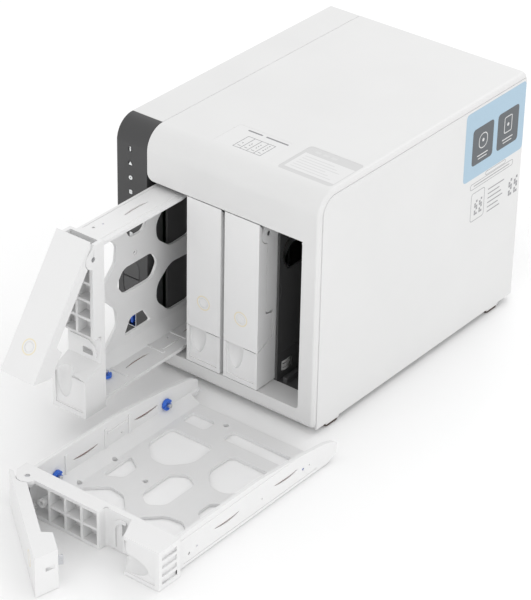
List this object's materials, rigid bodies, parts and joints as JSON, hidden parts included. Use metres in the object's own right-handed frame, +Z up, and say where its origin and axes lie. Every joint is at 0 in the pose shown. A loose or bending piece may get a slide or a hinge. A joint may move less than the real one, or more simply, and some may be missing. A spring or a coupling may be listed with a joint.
{
  "type": "network attached storage",
  "caption": "Desktop network storage case with front drive bays, pull-out trays with hinged handles, a dark control strip with buttons, and a rear fan.",
  "frame": {"origin": "middle of the floor area that the case and the loose tray cover together", "axes": "+X to the right seen from the front, +Y from the front to the back, +Z up"},
  "size_m": [0.188, 0.4498, 0.1692],
  "materials": {
    "white_shell": "fine satin moulded white",
    "white_metal": "satin white paint on sheet steel",
    "tray_plastic": "satin moulded white",
    "black_panel": "matt dark grey",
    "black_plastic": "satin black",
    "cage_plastic": "matt near-black",
    "fan_plastic": "matt black",
    "circuit_board": "green solder mask",
    "clear_plastic": "milky clear",
    "blue_plastic": "bright blue moulded",
    "steel": "bright plated",
    "foot_rubber": "matt dark brown"
  },
  "bodies": {
    "root": {"outer_cover": "white_shell", "left_side_cover": "white_shell", "right_side_panel": "white_shell", "base_panel": "white_shell", "rear_panel": "white_metal", "control_panel": "black_panel", "light_guide": "clear_plastic", "panel_board": "circuit_board", "front_usb_port": "steel", "front_usb_tongue": "blue_plastic", "cage_floor": "cage_plastic", "cage_roof": "cage_plastic", "cage_left_wall": "cage_plastic", "cage_right_wall": "cage_plastic", "bay_divider_1": "cage_plastic", "bay_divider_2": "cage_plastic", "bay_divider_3": "cage_plastic", "bay_spring_clip": "steel", "backplane_board": "circuit_board", "sata_connector_1": "black_plastic", "sata_connector_2": "black_plastic", "sata_connector_3": "black_plastic", "sata_connector_4": "black_plastic", "main_board": "circuit_board", "lan_jack_upper": "steel", "lan_jack_lower": "steel", "rear_usb_upper_port": "steel", "rear_usb_lower_port": "steel", "power_inlet": "black_plastic", "fan_frame": "fan_plastic", "fan_guard": "steel", "foot_front_left": "foot_rubber", "foot_front_right": "foot_rubber", "foot_rear_left": "foot_rubber", "foot_rear_right": "foot_rubber"},
    "fan": {"fan_rotor": "fan_plastic"},
    "power_key": {"power_button": "black_plastic"},
    "copy_key": {"copy_button": "black_plastic"},
    "reset_key": {"reset_button": "black_plastic"},
    "tray_1": {"tray_frame_1": "tray_plastic", "hinge_pin_1": "steel", "peg_upper_front_1": "blue_plastic", "peg_upper_rear_1": "blue_plastic", "peg_lower_front_1": "blue_plastic", "peg_lower_rear_1": "blue_plastic"},
    "handle_1": {"tray_handle_1": "tray_plastic"},
    "tray_2": {"tray_frame_2": "tray_plastic", "hinge_pin_2": "steel"},
    "handle_2": {"tray_handle_2": "tray_plastic"},
    "tray_3": {"tray_frame_3": "tray_plastic", "hinge_pin_3": "steel"},
    "handle_3": {"tray_handle_3": "tray_plastic"},
    "tray_4": {"tray_frame_4": "tray_plastic", "hinge_pin_4": "steel", "peg_upper_front_4": "blue_plastic", "peg_upper_rear_4": "blue_plastic", "peg_lower_front_4": "blue_plastic", "peg_lower_rear_4": "blue_plastic"},
    "handle_4": {"tray_handle_4": "tray_plastic"}
  },
  "joints": [
    {"name": "tray_1_slide", "type": "slide", "parent": "root", "child": "tray_1", "axis": [0, 1, 0], "range_m": [-0.07, 0.085]},
    {"name": "tray_2_slide", "type": "slide", "parent": "root", "child": "tray_2", "axis": [0, -1, 0], "range_m": [0, 0.163]},
    {"name": "tray_3_slide", "type": "slide", "parent": "root", "child": "tray_3", "axis": [0, -1, 0], "range_m": [0, 0.15]},
    {"name": "tray_4_slide", "type": "slide", "parent": "root", "child": "tray_4", "axis": [0, -1, 0], "range_m": [0, 0.163]},
    {"name": "handle_1_hinge", "type": "hinge", "parent": "tray_1", "child": "handle_1", "pos_m": [-0.0528, -0.07888, 0.1253], "axis": [1, 0, 0], "range_deg": [-15, 35]},
    {"name": "handle_2_hinge", "type": "hinge", "parent": "tray_2", "child": "handle_2", "pos_m": [-0.0228, 0.01412, 0.1253], "axis": [-1, 0, 0], "range_deg": [0, 50]},
    {"name": "handle_3_hinge", "type": "hinge", "parent": "tray_3", "child": "handle_3", "pos_m": [0.0072, 0.01412, 0.1253], "axis": [-1, 0, 0], "range_deg": [0, 50]},
    {"name": "handle_4_hinge", "type": "hinge", "parent": "tray_4", "child": "handle_4", "pos_m": [-0.0152, -0.16678, 0.0135], "axis": [0, 0, 1], "range_deg": [-12, 38]},
    {"name": "fan_spin", "type": "hinge", "parent": "root", "child": "fan", "pos_m": [-0.0078, 0.20672, 0.0774], "axis": [0, 1, 0], "continuous": true},
    {"name": "power_press", "type": "slide", "parent": "root", "child": "power_key", "axis": [0, 1, 0], "range_m": [0, 0.0012], "stiffness_N_per_m": 600, "springref_m": -0.0015},
    {"name": "copy_press", "type": "slide", "parent": "root", "child": "copy_key", "axis": [0, 1, 0], "range_m": [0, 0.0012], "stiffness_N_per_m": 600, "springref_m": -0.0015},
    {"name": "reset_press", "type": "slide", "parent": "root", "child": "reset_key", "axis": [0, -1, 0], "range_m": [0, 0.0008], "stiffness_N_per_m": 600, "springref_m": -0.0015}
  ],
  "couplings": [
    {"joint": "tray_4_slide", "follows": "tray_2_slide", "ratio": 1}
  ]
}
